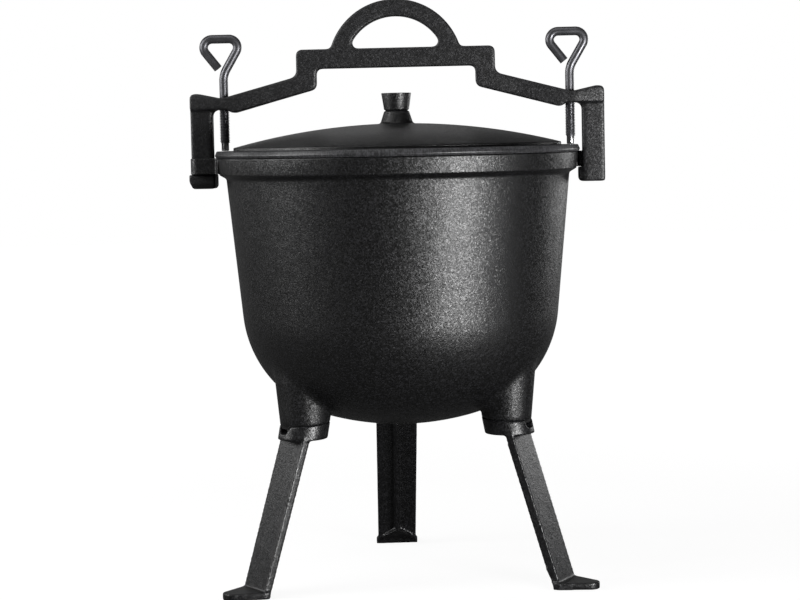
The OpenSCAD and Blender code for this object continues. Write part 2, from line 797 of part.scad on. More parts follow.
module clamp_screw() {
    $fn = 48;
    tip_z = lid_flange_t + tip_gap;
    neck_from = neck_z - neck_bend_r * tan(neck_angle / 2);
    strand = [sin(neck_angle), cos(neck_angle)];
    right_centre = [(eye_h - eye_bend_r) * tan(neck_angle) - eye_bend_r / cos(neck_angle),
                    neck_z + eye_h - eye_bend_r];
    left_centre = right_centre - [eye_top_l, 0];
    strand_from = [0, neck_z] + neck_bend_r * tan(neck_angle / 2) * strand;
    strand_to = right_centre + eye_bend_r * [cos(neck_angle), -sin(neck_angle)];
    free_from = left_centre - eye_bend_r * [cos(free_angle), sin(free_angle)];

    translate([0, 0, tip_z]) cylinder(r = tip_r, h = tip_l + past);
    translate([0, 0, tip_z + tip_l]) cylinder(r = screw_r, h = waist_z - tip_z - tip_l);
    translate([0, 0, waist_z - past]) wire_run(0, neck_from - waist_z + past);
    translate([neck_bend_r, 0, neck_from]) wire_bend(neck_bend_r, 180 - neck_angle, 180);
    translate([strand_from.x, 0, strand_from.y]) wire_run(neck_angle, norm(strand_to - strand_from));
    translate([right_centre.x, 0, right_centre.y]) wire_bend(eye_bend_r, -neck_angle, 90);
    translate([left_centre.x, 0, left_centre.y + eye_bend_r]) wire_run(90, eye_top_l);
    translate([left_centre.x, 0, left_centre.y]) wire_bend(eye_bend_r, 90, 180 + free_angle);
    translate([free_from.x, 0, free_from.y]) wire_run(180 - free_angle, free_l - wire_lap);
}

module clamp_screw_at(x) {
    color(wire_dark)
        translate([x, 0, rim_z])
            clamp_screw();
}

cauldron_bowl();
lid();
lid_knob();
knob_screw();
clamp_yoke();
clamp_screw_at(-screw_x);  // clamp_screw_left
clamp_screw_at(screw_x);  // clamp_screw_right
at_leg(leg_angle_left) leg_casting();  // leg_left
at_leg(leg_angle_right) leg_casting();  // leg_right
at_leg(leg_angle_rear) leg_casting();  // leg_rear
at_leg(leg_angle_left) leg_bolt();  // leg_bolt_left
at_leg(leg_angle_right) leg_bolt();  // leg_bolt_right
at_leg(leg_angle_rear) leg_bolt();  // leg_bolt_rear
at_leg(leg_angle_left) leg_washer();  // leg_washer_left
at_leg(leg_angle_right) leg_washer();  // leg_washer_right
at_leg(leg_angle_rear) leg_washer();  // leg_washer_rear
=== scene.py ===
"""Cast iron cauldron with a clamped lid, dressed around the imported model."""

import logging
import math
from dataclasses import dataclass, field
from enum import Enum
from typing import Callable, Sequence

import bpy
from mathutils import Matrix, Vector


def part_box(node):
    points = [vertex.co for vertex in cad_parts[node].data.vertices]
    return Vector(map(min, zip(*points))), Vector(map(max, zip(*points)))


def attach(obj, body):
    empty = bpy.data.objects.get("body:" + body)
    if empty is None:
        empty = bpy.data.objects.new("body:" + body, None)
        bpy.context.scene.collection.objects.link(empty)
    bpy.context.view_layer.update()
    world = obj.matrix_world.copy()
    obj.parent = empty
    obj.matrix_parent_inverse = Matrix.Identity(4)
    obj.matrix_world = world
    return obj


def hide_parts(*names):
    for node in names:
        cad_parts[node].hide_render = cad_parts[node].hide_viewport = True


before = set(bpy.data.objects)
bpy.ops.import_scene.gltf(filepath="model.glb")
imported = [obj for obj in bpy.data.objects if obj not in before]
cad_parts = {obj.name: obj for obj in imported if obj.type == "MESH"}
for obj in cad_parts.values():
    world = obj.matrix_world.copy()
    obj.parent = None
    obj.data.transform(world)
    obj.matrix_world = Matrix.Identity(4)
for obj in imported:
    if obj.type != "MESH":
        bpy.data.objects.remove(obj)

MM = 0.001
SCREW_X = 138.7
LOG = logging.getLogger("cauldron")

Tree, Socket = bpy.types.NodeTree, bpy.types.NodeSocket
Material, Piece = bpy.types.Material, bpy.types.Object
Point = tuple[float, float]
Corner = tuple[float, float, float]


class Slot(Enum):
    """The record's material slots."""

    BOWL = "bowl_iron"
    LID = "lid_iron"
    KNOB = "knob_iron"
    YOKE = "yoke_iron"
    LEG = "leg_iron"
    WIRE = "screw_wire"
    BOLT = "bolt_steel"


# Colours and shader nodes


def srgb(code: str) -> tuple[float, float, float, float]:
    """Turns a written colour into the linear one that a shader takes.

    Args:
        code: six hex digits after a hash sign.

    Returns:
        Linear red, green, blue and an alpha of 1.
    """
    parts = [int(code[i:i + 2], 16) / 255 for i in (1, 3, 5)]
    linear = [p / 12.92 if p <= 0.04045 else ((p + 0.055) / 1.055) ** 2.4 for p in parts]
    return (linear[0], linear[1], linear[2], 1.0)


def add_node(tree: Tree, kind: str, sockets: dict | None = None,
             **settings: object) -> bpy.types.Node:
    """Adds a shader node with its settings, values and links.

    Args:
        tree: the node tree.
        kind: the shader node's type name, without its first word.
        sockets: what goes into each input, by name or number: a value, or an output to link.
        settings: the node's own properties.

    Returns:
        The new node.
    """
    made = tree.nodes.new("ShaderNode" + kind)
    for name, value in settings.items():
        setattr(made, name, value)
    for key, value in (sockets or {}).items():
        if isinstance(value, Socket):
            tree.links.new(value, made.inputs[key])
        else:
            made.inputs[key].default_value = value
    return made


def mixed(tree: Tree, factor: Socket, first: object,
          second: object) -> Socket:
    """Mixes two colours.

    Args:
        tree: the node tree.
        factor: what drives the mix.
        first: the colour at 0, a value or an output.
        second: the colour at 1, a value or an output.

    Returns:
        The mixed colour's output.
    """
    # The colours are the mix node's inputs 6 and 7, because its other types share their names
    return add_node(tree, "Mix", {0: factor, 6: first, 7: second},
                    data_type="RGBA").outputs[2]


def blank_material(name: str) -> tuple[Material, Tree, bpy.types.Node]:
    """Makes a material with nothing but its output.

    Args:
        name: the material's name.

    Returns:
        The material, its node tree and its output node.
    """
    material = bpy.data.materials.new(name)
    material.use_nodes = True
    tree = material.node_tree
    tree.nodes.clear()
    return material, tree, tree.nodes.new("ShaderNodeOutputMaterial")


def object_place(tree: Tree) -> Socket:
    """Adds the object's own coordinates.

    Args:
        tree: the node tree.

    Returns:
        The coordinates' output.
    """
    return add_node(tree, "TexCoord").outputs["Object"]


def noise(tree: Tree, place: Socket, size_mm: float, detail: float,
          roughness: float = 0.5) -> Socket:
    """Adds a noise of a real size.

    Args:
        tree: the node tree.
        place: the coordinates.
        size_mm: the size of its coarsest forms.
        detail: how many finer layers it has.
        roughness: how strong each finer layer is.

    Returns:
        The noise's output.
    """
    return add_node(tree, "TexNoise",
                    {"Vector": place, "Scale": 1 / (size_mm * MM), "Detail": detail,
                     "Roughness": roughness}).outputs["Fac"]


def spread(tree: Tree, value: Socket, low: float, high: float,
           start: float = 0.0, stop: float = 1.0) -> Socket:
    """Spreads a value over another range, and clamps it there.

    Args:
        tree: the node tree.
        value: the value.
        low: what it becomes at the start.
        high: what it becomes at the stop.
        start: where its own range starts.
        stop: where its own range stops.

    Returns:
        The new value's output.
    """
    return add_node(tree, "MapRange",
                    {"Value": value, "From Min": start, "From Max": stop, "To Min": low,
                     "To Max": high}).outputs["Result"]


def bumped(tree: Tree, height: Socket, height_mm: float,
           strength: float = 1.0, **below: Socket) -> Socket:
    """Adds a bump of a real height.

    Args:
        tree: the node tree.
        height: what drives the bump.
        height_mm: its height.
        strength: its share.
        below: the normal on which it lies, as Normal, if there is one.

    Returns:
        The normal's output.
    """
    return add_node(tree, "Bump", {"Height": height, "Strength": strength,
                                             "Distance": height_mm * MM, **below}).outputs["Normal"]


def shade(tree: Tree, output: bpy.types.Node, sockets: dict) -> None:
    """Adds the surface's shader and links it to the output.

    Args:
        tree: the node tree.
        output: the material's output node.
        sockets: the shader's inputs, as for add_node.
    """
    shader = add_node(tree, "BsdfPrincipled", sockets)
    tree.links.new(shader.outputs["BSDF"], output.inputs["Surface"])


@dataclass(frozen=True)
class SandCastIron:
    """Grey cast iron from a sand mould, blacked with oil.

    The eye gets a near-black satin skin on which the sand's grains glint one by one, from their own
    tilts, and on which a few grains are painted paler as painted glints.
    """

    name: str
    dark: str = "#020202"
    # light is the colour of the few grains painted paler, as painted glints
    light: str = "#202022"
    glint_power: float = 3.0
    specular: float = 0.5
    roughness: float = 0.38
    gloss_spread: tuple[float, float] = (-0.05, 0.12)
    grain_mm: float = 0.95
    grain_height_mm: float = 0.16
    facet_tilt: float = 0.17
    swell_mm: float = 22.0
    swell_height_mm: float = 0.35

    def make(self) -> Material:
        """Builds the material: sand grain in the bump, single grains tilted to catch light and a few
        painted paler as painted glints, uneven gloss.

        Returns:
            The material.
        """
        material, tree, output = blank_material(self.name)
        place = object_place(tree)
        # Moulding sand of about 0.4 mm, drawn at about twice its size so that a grain fills a pixel
        grain = noise(tree, place, self.grain_mm, 1.0)
        # Each cell is one grain, with a tone, a gloss and a tilt of its own
        cells = add_node(tree, "TexVoronoi",
                         {"Vector": place, "Scale": 1 / (self.grain_mm * MM)}).outputs["Color"]
        # The mould's face isn't quite true: swells of about 2 cm
        swell = noise(tree, place, self.swell_mm, 2.0)
        share = add_node(tree, "SeparateColor", {"Color": cells})
        # Most grains are near black and a few are painted paler, as painted glints
        pale = add_node(tree, "Math", {0: share.outputs["Red"], 1: self.glint_power},
                        operation="POWER")
        tone = mixed(tree, pale.outputs["Value"], srgb(self.dark), srgb(self.light))
        gloss = spread(tree, share.outputs["Green"], self.roughness + self.gloss_spread[0],
                       self.roughness + self.gloss_spread[1])
        bump = bumped(tree, grain, self.grain_height_mm,
                      Normal=bumped(tree, swell, self.swell_height_mm))
        # Each grain faces a little its own way, so single ones glint
        centred = add_node(tree, "VectorMath", {0: cells, 1: (0.5, 0.5, 0.5)},
                           operation="SUBTRACT")
        tilt = add_node(tree, "VectorMath",
                        {0: centred.outputs["Vector"], "Scale": self.facet_tilt}, operation="SCALE")
        leaned = add_node(tree, "VectorMath",
                          {0: bump, 1: tilt.outputs["Vector"]}, operation="ADD")
        facet = add_node(tree, "VectorMath", {0: leaned.outputs["Vector"]},
                         operation="NORMALIZE")
        shade(tree, output, {"Base Color": tone, "Roughness": gloss, "IOR": 1.5,
                             "Specular IOR Level": self.specular, "Normal": facet.outputs["Vector"]})
        return material


@dataclass(frozen=True)
class TurnedIronPaintedSheen:
    """Cast iron turned on a lathe and blacked.

    The eye gets an edge painted paler than the cast skin, as a painted sheen, with fine marks across
    it whose pale streaks are painted highlights where they catch the light.
    """

    name: str
    dark: str = "#1c1c1d"
    light: str = "#444446"
    specular: float = 0.5
    roughness: float = 0.34
    mark_mm: float = 1.1
    mark_stretch: float = 0.06
    mark_height_mm: float = 0.1

    def make(self) -> Material:
        """Builds the material: streaks that run up the edge, changing quickly round it.

        Returns:
            The material.
        """
        material, tree, output = blank_material(self.name)
        squashed = add_node(tree, "Mapping",
                            {"Vector": object_place(tree), "Scale": (1.0, 1.0, self.mark_stretch)})
        # A tool's mark of about 1 mm, drawn as long as the edge is high
        marks = noise(tree, squashed.outputs["Vector"], self.mark_mm, 3.0, 0.6)
        # The marks' pale streaks in the colour are painted highlights; their bump and gloss are the
        # real turned marks
        tone = mixed(tree, spread(tree, marks, 0.0, 1.0, 0.4, 0.62), srgb(self.dark),
                     srgb(self.light))
        shade(tree, output,
              {"Base Color": tone, "IOR": 1.5, "Specular IOR Level": self.specular,
               "Roughness": spread(tree, marks, self.roughness + 0.12, self.roughness - 0.1),
               "Normal": bumped(tree, marks, self.mark_height_mm, 0.6)})
        return material


@dataclass(frozen=True)
class Steel:
    """Steel wire or bar, drawn, cut or ground bare, more or less oxidised.

    The eye gets a smooth metal with long soft highlights and a slightly uneven gloss.
    """

    name: str
    colour: str
    roughness: float
    metallic: float = 1.0
    streak_mm: float = 0.5
    streak_height_mm: float = 0.004
    patch_mm: float = 7.0

    def make(self) -> Material:
        """Builds the material: fine uneven gloss and a trace of drawing marks.

        Returns:
            The material.
        """
        material, tree, output = blank_material(self.name)
        place = object_place(tree)
        # Marks of about half a millimetre, and patches as wide as the wire
        streaks = noise(tree, place, self.streak_mm, 2.0)
        patches = noise(tree, place, self.patch_mm, 3.0)
        gloss = spread(tree, patches, self.roughness - 0.06, self.roughness + 0.1, 0.3, 0.7)
        shade(tree, output, {"Base Color": srgb(self.colour), "Metallic": self.metallic,
                             "Roughness": gloss,
                             "Normal": bumped(tree, streaks, self.streak_height_mm, 0.5)})
        return material


@dataclass
class Finishes:
    """Every material, made once."""

    # Bowl, lid and knob: the darkest skin, with one broad highlight
    iron: Material = field(
        default_factory=lambda: SandCastIron("sand_cast_iron_blacked").make())
    # Legs: a tighter gloss, so the struts' sides stay dark beside their faces
    leg_iron: Material = field(
        default_factory=lambda: SandCastIron("sand_cast_iron_legs", dark="#040405", light="#262628",
                                             roughness=0.34, facet_tilt=0.12).make())
    # Yoke: a duller skin, painted slightly paler as painted fill light on its faces, even along the
    # bar
    yoke_iron: Material = field(
        default_factory=lambda: SandCastIron("sand_cast_iron_yoke_painted_fill", dark="#0e0e0f", light="#29292b",
                                             roughness=0.42).make())
    # The lid's rim: painted paler than the cast skin, as a painted sheen on its turned face, so it
    # parts the lid from the pot
    edge: Material = field(default_factory=lambda: TurnedIronPaintedSheen("turned_iron_edge_painted_sheen").make())
    # The clamp screws: dull grey wire beside the black castings
    wire: Material = field(
        default_factory=lambda: Steel("drawn_wire_dull", "#5a5a5d", 0.38, metallic=0.8,
                                      streak_height_mm=0.001).make())
    # The screws' ground tips: the one bright metal in the picture
    bare: Material = field(
        default_factory=lambda: Steel("steel_ground_bare", "#c0c0c2", 0.22).make())
    # Bolts, washers and the knob's screw, which only show from below
    bolt: Material = field(
        default_factory=lambda: Steel("steel_bolt_plain", "#77777a", 0.35).make())


# Outlines, in millimetres


def rounded(corners: Sequence[Corner], steps: int = 6) -> list[Point]:
    """Rounds the corners of an open outline.

    Args:
        corners: x, y and radius of each corner; the ends keep their place.
        steps: how many steps each rounded corner takes.

    Returns:
        The outline's points.
    """
    points: list[Point] = []
    for i, (x, y, radius) in enumerate(corners):
        here = Vector((x, y))
        if radius <= 0 or i in (0, len(corners) - 1):
            points.append((x, y))
            continue
        before = (Vector(corners[i - 1][:2]) - here).normalized()
        after = (Vector(corners[i + 1][:2]) - here).normalized()
        half = math.acos(max(-1.0, min(1.0, before.dot(after)))) / 2
        centre = here + (before + after).normalized() * (radius / math.sin(half))
        first = here + before * (radius / math.tan(half)) - centre
        turn = math.pi - 2 * half
        side = 1.0 if before.y * after.x - before.x * after.y > 0 else -1.0
        for k in range(steps + 1):
            spot = centre + first @ Matrix.Rotation(-side * turn * k / steps, 2)
            points.append((spot.x, spot.y))
    return points


def arc(centre: Point, radius: float, start: float, stop: float, steps: int) -> list[Point]:
    """Points of an arc.

    Args:
        centre: its centre.
        radius: its radius.
        start: the first point's angle in degrees.
        stop: the last point's angle in degrees.
        steps: how many steps it takes.

    Returns:
        The points, both ends included.
    """
    turns = [math.radians(start + (stop - start) * i / steps) for i in range(steps + 1)]
    return [(centre[0] + radius * math.cos(t), centre[1] + radius * math.sin(t)) for t in turns]


# Modelling, as by hand


def deselect() -> None:
    """Leaves object mode with nothing selected."""
    if bpy.context.mode != "OBJECT":
        bpy.ops.object.mode_set(mode="OBJECT")
    bpy.ops.object.select_all(action="DESELECT")


def activate(piece: Piece) -> None:
    """Makes one piece the selected and active one.

    Args:
        piece: the piece.
    """
    deselect()
    piece.select_set(True)
    bpy.context.view_layer.objects.active = piece


def placed(name: str, data: bpy.types.ID) -> Piece:
    """Puts new data into the scene.

    Args:
        name: the object's name.
        data: its data.

    Returns:
        The object.
    """
    made = bpy.data.objects.new(name, data)
    bpy.context.scene.collection.objects.link(made)
    return made


def settle() -> None:
    """Writes the active piece's place into its points."""
    bpy.ops.object.transform_apply(location=True, rotation=True, scale=True)


def draw_chain(points: Sequence[Vector], closed: bool) -> None:
    """Draws a chain of edges, and stays in edit mode with its last point selected.

    Args:
        points: the chain's points, in metres.
        closed: whether the chain is closed to a face.
    """
    deselect()
    bpy.ops.mesh.primitive_plane_add(size=MM, location=points[0])
    settle()
    bpy.ops.object.mode_set(mode="EDIT")
    bpy.ops.mesh.select_mode(type="VERT")
    bpy.ops.mesh.select_all(action="SELECT")
    bpy.ops.mesh.merge(type="CENTER")
    for here, there in zip(points, points[1:]):
        bpy.ops.mesh.extrude_vertices_move(TRANSFORM_OT_translate={"value": there - here})
    bpy.ops.mesh.select_all(action="SELECT")
    if closed:
        bpy.ops.mesh.edge_face_add()


def close_up(name: str, shade_angle: float = 30) -> Piece:
    """Merges doubles, turns the faces outwards and leaves edit mode.

    Args:
        name: the piece's name.
        shade_angle: the angle in degrees past which an edge stays sharp.

    Returns:
        The piece.
    """
    bpy.ops.mesh.select_all(action="SELECT")
    bpy.ops.mesh.remove_doubles(threshold=0.002 * MM)
    bpy.ops.mesh.normals_make_consistent(inside=False)
    bpy.ops.object.mode_set(mode="OBJECT")
    piece = bpy.context.active_object
    piece.name = piece.data.name = name
    bpy.ops.object.shade_smooth_by_angle(angle=math.radians(shade_angle))
    return piece


def turned(name: str, profile: Sequence[Point], lift: float, centre: Point = (0.0, 0.0),
           steps: int = 192, shade_angle: float = 30) -> Piece:
    """Turns a profile round an upright axis.

    Args:
        name: the piece's name.
        profile: radius and height of its points, in millimetres.
        lift: the height that the profile's zero has, in metres.
        centre: where the axis stands, in metres.
        steps: how many steps the turn takes.
        shade_angle: the angle in degrees past which an edge stays sharp.

    Returns:
        The piece.
    """
    axis = Vector((centre[0], centre[1], 0.0))
    draw_chain([axis + Vector((r * MM, 0.0, lift + h * MM)) for r, h in profile], closed=False)
    bpy.ops.mesh.spin(steps=steps, angle=2 * math.pi, center=axis, axis=(0.0, 0.0, 1.0))
    return close_up(name, shade_angle)


def extruded(name: str, outline: Sequence[Vector], along: Vector, edge_mm: float = 0.0,
             shade_angle: float = 30) -> Piece:
    """Draws an outline and extrudes it.

    Args:
        name: the piece's name.
        outline: its points, in metres.
        along: the direction and length of the extrusion, in metres.
        edge_mm: the radius of its edges.
        shade_angle: the angle in degrees past which an edge stays sharp.

    Returns:
        The piece.
    """
    draw_chain(outline, closed=True)
    bpy.ops.mesh.extrude_region_move(TRANSFORM_OT_translate={"value": along})
    piece = close_up(name, shade_angle)
    if edge_mm:
        apply_modifier(piece, "BEVEL", width=edge_mm * MM, segments=3, limit_method="ANGLE",
                       angle_limit=math.radians(40))
    return piece


def apply_modifier(piece: Piece, kind: str, **settings: object) -> None:
    """Adds a modifier and applies it.

    Args:
        piece: the piece.
        kind: the modifier's type name.
        settings: its properties.
    """
    activate(piece)
    modifier = piece.modifiers.new(kind.lower(), kind)
    for name, value in settings.items():
        setattr(modifier, name, value)
    bpy.ops.object.modifier_apply(modifier=modifier.name)


def joined(name: str, pieces: Sequence[Piece]) -> Piece:
    """Joins pieces to one.

    Args:
        name: the new piece's name.
        pieces: the pieces.

    Returns:
        The joined piece.
    """
    activate(pieces[0])
    for piece in pieces:
        piece.select_set(True)
    bpy.ops.object.join()
    pieces[0].name = pieces[0].data.name = name
    return pieces[0]


def recast(name: str, node: str, voxel_mm: float, passes: int) -> Piece:
    """Copies a packed casting and softens its edges as a sand mould does.

    Args:
        name: the new piece's name.
        node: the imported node.
        voxel_mm: the size of the new mesh's faces.
        passes: how many times the new mesh is smoothed.

    Returns:
        The new piece, in the node's place.
    """
    piece = placed(name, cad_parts[node].data.copy())
    activate(piece)
    piece.data.materials.clear()
    bpy.ops.object.mode_set(mode="EDIT")
    bpy.ops.mesh.select_all(action="SELECT")
    bpy.ops.mesh.remove_doubles(threshold=0.002 * MM)
    bpy.ops.object.mode_set(mode="OBJECT")
    apply_modifier(piece, "REMESH", mode="VOXEL", voxel_size=voxel_mm * MM, adaptivity=0.0)
    apply_modifier(piece, "SMOOTH", factor=0.5, iterations=passes)
    bpy.ops.object.shade_smooth()
    return piece


def dress(piece: Piece, material: Material, body: str, slot: Slot,
          *nodes: str) -> Piece:
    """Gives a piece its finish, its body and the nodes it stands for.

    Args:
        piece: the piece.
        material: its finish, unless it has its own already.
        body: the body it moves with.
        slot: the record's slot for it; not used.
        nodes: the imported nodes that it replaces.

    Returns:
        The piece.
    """
    if not piece.data.materials:
        piece.data.materials.append(material)
    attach(piece, body)
    if nodes:
        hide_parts(*nodes)
    LOG.info("%s on %s: %d faces", piece.name, body, len(piece.data.polygons))
    return piece


def paint(piece: Piece, materials: Sequence[Material],
          pick: Callable[[Vector], int]) -> None:
    """Gives each face one of several finishes by its place.

    Args:
        piece: the piece.
        materials: the finishes.
        pick: tells a finish's number from a face's centre, in metres.
    """
    piece.data.materials.clear()
    for material in materials:
        piece.data.materials.append(material)
    for face in piece.data.polygons:
        face.material_index = pick(face.center)


# The pot


@dataclass(frozen=True)
class Cup:
    """Sizes of a cup's section, in millimetres: the wall's radius at the rim, the bend's and the
    dish's radius, and the depth at the axis."""

    wall: float
    bend: float
    dish: float
    depth: float


@dataclass
class BowlCasting:
    """The bowl with its rim band, lugs and bosses. Lengths in millimetres, heights from the rim."""

    finishes: Finishes
    rim: float = field(default_factory=lambda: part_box("cauldron_bowl")[1].z)
    seat: float = 0.1317
    seat_tilt: float = 3.5
    wall_r: float = 139.0
    draft: float = 5.5
    depth: float = 216.0
    bend_r: float = 92.0
    dish_r: float = 214.0
    wall_t: float = 6.0
    band_r: float = 144.5
    band_h: float = 13.4
    band_taper: float = 1.5
    band_foot_h: float = 3.2
    lug_reach: float = 164.0
    lug_y: float = 5.4
    lug_w: float = 22.0
    lug_h: float = 12.4
    boss_circle_r: float = 92.0
    boss_r: float = 19.6
    boss_draft: float = 5.4
    boss_fillet: float = 6.0
    key_inset: float = 14.1
    key_drop: float = 2.6
    key_half_w: float = 7.2
    key_low_half_w: float = 5.6
    leg_angles: tuple[float, float, float] = (96.07, 216.07, 336.07)

    def outer(self) -> Cup:
        """The outside's section.

        Returns:
            Its sizes.
        """
        return Cup(self.wall_r, self.bend_r, self.dish_r, self.depth)

    def curve(self, cup: Cup) -> tuple[Point, Point, float]:
        """The centres of a section's two arcs, and the angle at which they meet.

        Args:
            cup: the section's sizes.

        Returns:
            The bend's centre, the dish's centre, and the angle in degrees.
        """
        tilt = math.radians(self.draft)
        down = Vector((-math.sin(tilt), -math.cos(tilt)))
        out = Vector((math.cos(tilt), -math.sin(tilt)))
        low = Vector((0.0, cup.dish - cup.depth))
        start = Vector((cup.wall, 0.0)) - cup.bend * out
        lead = start - low
        run = -lead.dot(down) + math.sqrt(lead.dot(down) ** 2 - lead.dot(lead)
                                          + (cup.dish - cup.bend) ** 2)
        turn = start + run * down
        meet = math.degrees(math.atan2(turn.y - low.y, turn.x))
        return (turn.x, turn.y), (low.x, low.y), meet

    def underside(self, cup: Cup, steps: int) -> list[Point]:
        """The bend and the dish, from the wall to the axis.

        Args:
            cup: the section's sizes.
            steps: how many steps each arc takes.

        Returns:
            Radius and height of the points.
        """
        turn, low, meet = self.curve(cup)
        points = arc(turn, cup.bend, -self.draft, meet, steps)
        points += arc(low, cup.dish, meet, -90, steps)[1:]
        return points[:-1] + [(0.0, -cup.depth)]

    def profile(self) -> list[Point]:
        """The whole section, from the axis outside, over the rim and back to the axis inside.

        Returns:
            Radius and height of the points.
        """
        level = self.wall_t / math.cos(math.radians(self.draft))
        slope = math.tan(math.radians(self.draft))
        foot = self.band_h + self.band_foot_h
        outside = self.underside(self.outer(), 30)[::-1]
        start = outside[-1]
        wall = [(self.wall_r - h * slope, -h) for h in range(int(-start[1]) - 4, 26, -8)]
        rim = rounded([(self.wall_r - 26 * slope, -26.0, 0.0),
                       (self.wall_r - foot * slope, -foot, 3.0),
                       (self.band_r - self.band_taper, -self.band_h, 1.6),
                       (self.band_r, 0.0, 1.2),
                       (self.wall_r - level, 0.0, 1.2),
                       (self.wall_r - level - 30 * slope, -30.0, 0.0)])
        inside = self.underside(Cup(self.wall_r - level, self.bend_r - self.wall_t,
                                    self.dish_r - self.wall_t, self.depth - self.wall_t), 24)
        return outside + wall + rim + inside

    def on_surface(self, spot: Vector) -> tuple[Vector, Vector]:
        """The nearest point of the bowl's outside.

        Args:
            spot: a point in millimetres, its height from the rim.

        Returns:
            The point on the surface, and the surface's outward normal there.
        """
        turn, low, meet = self.curve(self.outer())
        radius = math.hypot(spot.x, spot.y)
        away = Vector((spot.x / radius, spot.y / radius, 0.0))
        flat = Vector((radius, spot.z))
        from_turn = flat - Vector(turn)
        angle = math.degrees(math.atan2(from_turn.y, from_turn.x))
        if angle > -self.draft:
            tilt = math.radians(self.draft)
            normal = Vector((math.cos(tilt), -math.sin(tilt)))
            nearest = flat - normal * (flat - Vector((self.wall_r, 0.0))).dot(normal)
        elif angle >= meet:
            normal = from_turn.normalized()
            nearest = Vector(turn) + normal * self.bend_r
        else:
            normal = (flat - Vector(low)).normalized()
            nearest = Vector(low) + normal * self.dish_r
        up = Vector((0.0, 0.0, 1.0))
        return away * nearest.x + up * nearest.y, away * normal.x + up * normal.y

    def boss_line(self, around: float) -> list[Vector]:
        """One line up a boss's side, from its seat to where its fillet runs out on the bowl.

        Args:
            around: the line's angle about the boss's axis, in radians.

        Returns:
            Its points in millimetres, for a boss on the X axis, heights from the rim.
        """
        slope = math.tan(math.radians(self.boss_draft))
        foot = (self.seat - self.rim) / MM
        axis = Vector((self.boss_circle_r, 0.0, 0.0))
        out = Vector((math.cos(around), math.sin(around), 0.0))

        def at(height: float) -> Vector:
            """The point on the boss's side at a height above its seat.

            Args:
                height: the height, in millimetres.

            Returns:
                The point.
            """
            return axis + out * (self.boss_r + height * slope) + Vector((0.0, 0.0, foot + height))

        # The seat is cut at a tilt, and the side runs up until it meets the bowl
        tilt = math.radians(self.seat_tilt)
        cut = -self.boss_r * out.x * math.tan(tilt)
        low, high = cut, 110.0
        for _ in range(40):
            middle = (low + high) / 2
            near, normal = self.on_surface(at(middle))
            if (at(middle) - near).dot(normal) > 0:
                low = middle
            else:
                high = middle
        hit = at(low)
        near, normal = self.on_surface(hit)
        side = out - normal * out.dot(normal)
        rise = Vector((0.0, 0.0, 1.0))
        # Where the side meets the bowl head on, its fillet runs up the bowl instead of outwards
        away = side.normalized() if side.length > 0.25 else \
            (rise - normal * rise.dot(normal)).normalized()
        reach = min(self.boss_fillet, 0.6 * (low - cut))
        first = at(low - reach)
        last, _ = self.on_surface(hit + away * reach)
        across = Vector((out.x, out.y, -out.x * math.tan(tilt)))
        line = [axis + Vector((0.0, 0.0, foot)), at(cut) - across * 8.0, at(cut) - across * 0.8,
                at(cut + 0.25) - out * 0.25, at(cut + 0.8)]
        side_steps, fillet_steps, start = 10, 8, cut + 0.8
        line += [at(start + (low - reach - start) * k / side_steps) for k in range(1, side_steps)]
        for k in range(fillet_steps + 1):
            t = k / fillet_steps
            line.append(first * (1 - t) ** 2 + hit * 2 * t * (1 - t) + last * t ** 2)
        # The last point sinks below the bowl's skin, so no edge stands proud of it
        sunk, normal = self.on_surface(last + away * 0.4)
        line.append(sunk - normal * 0.15)
        return line

    def boss(self, number: int) -> Piece:
        """Builds one boss with the fillet that carries it into the bowl.

        Args:
            number: which of the legs' angles it stands at.

        Returns:
            The piece.
        """
        around = 96
        lines = [self.boss_line(2 * math.pi * i / around) for i in range(around + 1)]
        deselect()
        bpy.ops.mesh.primitive_grid_add(x_subdivisions=around, y_subdivisions=len(lines[0]) - 1,
                                        size=1.0)
        piece = bpy.context.active_object
        width = around + 1
        turn = Matrix.Rotation(math.radians(self.leg_angles[number]), 3, "Z")
        for index, vertex in enumerate(piece.data.vertices):
            column, row = index % width, index // width
            spot = turn @ (lines[column][row] * MM)
            vertex.co = spot + Vector((0.0, 0.0, self.rim))
        bpy.ops.object.mode_set(mode="EDIT")
        return close_up(f"bowl_boss_{number + 1}", 60)

    def lug(self, side: float) -> Piece:
        """Builds one lug, with fillets at its root.

        Args:
            side: 1 for the one at +X, -1 for the other.

        Returns:
            The piece.
        """
        root, near, far = self.band_r - 4.0, self.lug_y, self.lug_y + self.lug_w
        bend = 4.0
        corners = [(self.band_r - 0.6, near - bend, 0.0), (self.band_r + 0.2, near, bend * 0.5),
                   (self.lug_reach, near, 6.0), (self.lug_reach, far, 6.0),
                   (self.band_r - 1.4, far, bend * 0.6), (self.band_r - 3.2, far + bend, 0.0)]
        outline = [(root, near - bend)] + rounded(corners) + [(root, far + bend)]
        points = [Vector((side * x * MM, side * y * MM, self.rim)) for x, y in outline]
        return extruded(f"bowl_lug_{'right' if side > 0 else 'left'}", points,
                        Vector((0.0, 0.0, -self.lug_h * MM)), edge_mm=1.3)

    def key(self, number: int) -> Piece:
        """Builds one boss's key, which hangs below the seat into the collar's notch.

        Args:
            number: which of the legs' angles it stands at.

        Returns:
            The piece.
        """
        stand = Matrix.Rotation(math.radians(self.leg_angles[number]), 3, "Z")
        turn = stand @ Matrix.Rotation(math.radians(self.seat_tilt), 3, "Y")
        lift = stand @ Vector((self.boss_circle_r * MM, 0.0, 0.0)) + Vector((0.0, 0.0, self.seat))
        half, low_half, drop = self.key_half_w, self.key_low_half_w, self.key_drop
        outline = [(-half, 0.5), (half, 0.5), (half, 0.0), (low_half, -drop), (-low_half, -drop),
                   (-half, 0.0)]
        points = [turn @ Vector((self.key_inset * MM, y * MM, z * MM)) + lift for y, z in outline]
        sag = self.boss_r - math.sqrt(self.boss_r ** 2 - half ** 2)
        along = turn @ Vector(((self.boss_r - self.key_inset - sag) * MM, 0.0, 0.0))
        return extruded(f"bowl_key_{number + 1}", points, along, edge_mm=0.5)

